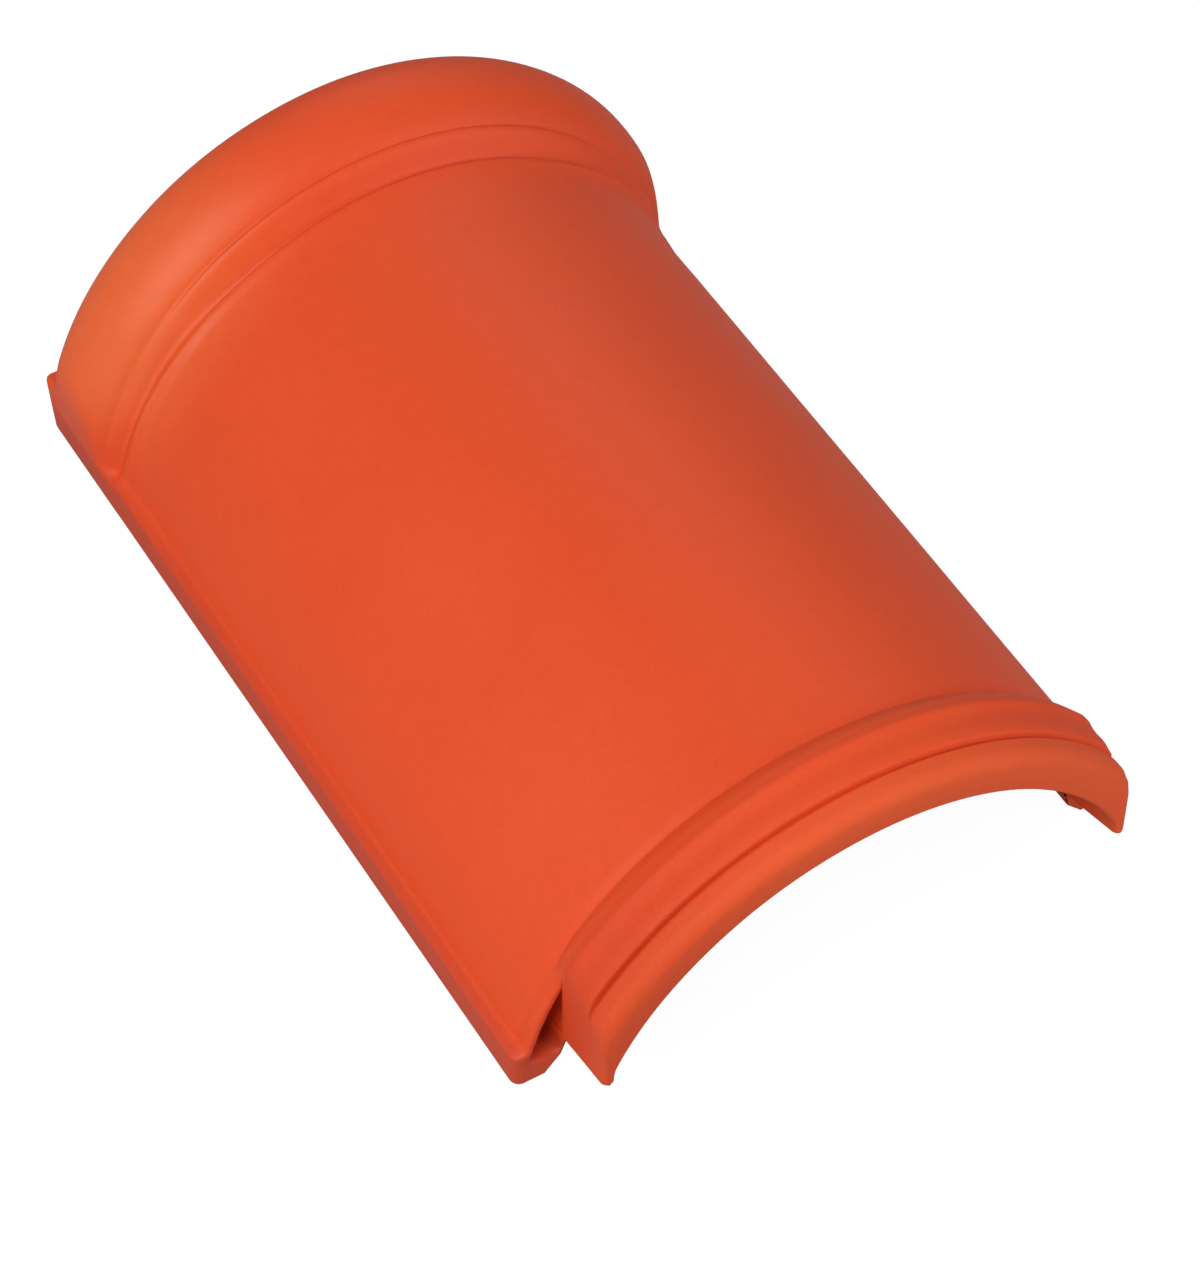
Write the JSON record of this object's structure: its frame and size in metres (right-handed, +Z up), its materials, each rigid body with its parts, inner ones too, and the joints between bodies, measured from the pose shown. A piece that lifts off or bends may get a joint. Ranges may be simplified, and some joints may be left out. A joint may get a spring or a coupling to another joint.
{
  "type": "clay ridge tile",
  "caption": "Half-round fired clay ridge tile with a raised collar at one end and an inset beaded spigot at the other, on two base strips.",
  "frame": {"origin": "middle of the footprint on the ground, under the arch", "axes": "+Y along the tile from the spigot to the collar, +Z up, +X across"},
  "size_m": [0.245, 0.3768, 0.1266],
  "materials": {
    "fired_clay": "matt, unglazed"
  },
  "bodies": {
    "root": {"ridge_tile": "fired_clay"}
  },
  "joints": []
}
